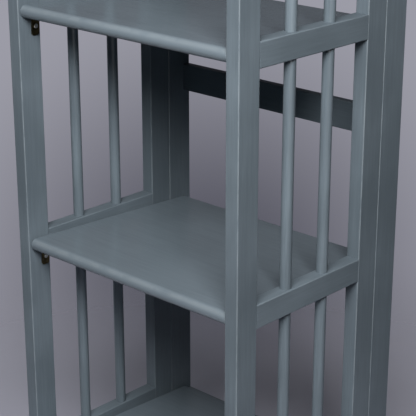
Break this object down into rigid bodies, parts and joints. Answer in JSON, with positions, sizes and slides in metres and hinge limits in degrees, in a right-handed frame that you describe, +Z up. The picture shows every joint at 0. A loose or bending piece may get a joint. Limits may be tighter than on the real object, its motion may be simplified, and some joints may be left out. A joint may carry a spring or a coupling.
{
  "type": "folding bookcase",
  "caption": "Free-standing folding bookcase: spindled side frames hinged to an open back frame, with plain board shelves that tip up on rear pivots.",
  "frame": {"origin": "on the floor under the middle of the case", "axes": "+Z up, +Y towards the back, +X to the right seen from the front"},
  "size_m": [0.38, 0.3, 1.075],
  "materials": {
    "painted_wood": "satin slate blue-grey paint",
    "dark_brass": "darkened, satin",
    "brass": "dull, uncoated",
    "steel": "bright zinc",
    "glide": "matt"
  },
  "bodies": {
    "case": {"back_rail_bottom": "painted_wood", "back_rail_middle": "painted_wood", "back_rail_top": "painted_wood", "back_stile_left": "painted_wood", "back_stile_right": "painted_wood", "foot_glides": "glide", "front_stile_left": "painted_wood", "front_stile_right": "painted_wood", "hinge_back_leaves_left": "brass", "hinge_back_leaves_right": "brass", "hinge_pins_left": "steel", "hinge_pins_right": "steel", "hinge_screws_left": "steel", "hinge_screws_right": "steel", "hinge_side_leaves_left": "brass", "hinge_side_leaves_right": "brass", "pivot_bushes_left": "brass", "pivot_bushes_right": "brass", "rear_stile_left": "painted_wood", "rear_stile_right": "painted_wood", "shelf_supports_left": "dark_brass", "shelf_supports_right": "dark_brass", "side_rail_left_1": "painted_wood", "side_rail_left_2": "painted_wood", "side_rail_left_3": "painted_wood", "side_rail_left_4": "painted_wood", "side_rail_right_1": "painted_wood", "side_rail_right_2": "painted_wood", "side_rail_right_3": "painted_wood", "side_rail_right_4": "painted_wood", "spindle_left_1_1": "painted_wood", "spindle_left_1_2": "painted_wood", "spindle_left_2_1": "painted_wood", "spindle_left_2_2": "painted_wood", "spindle_left_3_1": "painted_wood", "spindle_left_3_2": "painted_wood", "spindle_right_1_1": "painted_wood", "spindle_right_1_2": "painted_wood", "spindle_right_2_1": "painted_wood", "spindle_right_2_2": "painted_wood", "spindle_right_3_1": "painted_wood", "spindle_right_3_2": "painted_wood", "support_screws_left": "steel", "support_screws_right": "steel"},
    "flip_shelf_1": {"shelf_1": "painted_wood", "shelf_pins_1": "steel"},
    "flip_shelf_2": {"shelf_2": "painted_wood", "shelf_pins_2": "steel"},
    "flip_shelf_3": {"shelf_3": "painted_wood", "shelf_pins_3": "steel"},
    "flip_shelf_4": {"shelf_4": "painted_wood", "shelf_pins_4": "steel"}
  },
  "joints": [
    {"name": "shelf_1_flip", "type": "hinge", "parent": "case", "child": "flip_shelf_1", "pos_m": [0, 0.123, 0.09418], "axis": [-1, 0, 0], "range_deg": [0, 87.5]},
    {"name": "shelf_2_flip", "type": "hinge", "parent": "case", "child": "flip_shelf_2", "pos_m": [0, 0.123, 0.39918], "axis": [-1, 0, 0], "range_deg": [0, 87.5]},
    {"name": "shelf_3_flip", "type": "hinge", "parent": "case", "child": "flip_shelf_3", "pos_m": [0, 0.123, 0.70418], "axis": [-1, 0, 0], "range_deg": [0, 87.5]},
    {"name": "shelf_4_flip", "type": "hinge", "parent": "case", "child": "flip_shelf_4", "pos_m": [0, 0.123, 1.00918], "axis": [-1, 0, 0], "range_deg": [0, 87.5]}
  ]
}
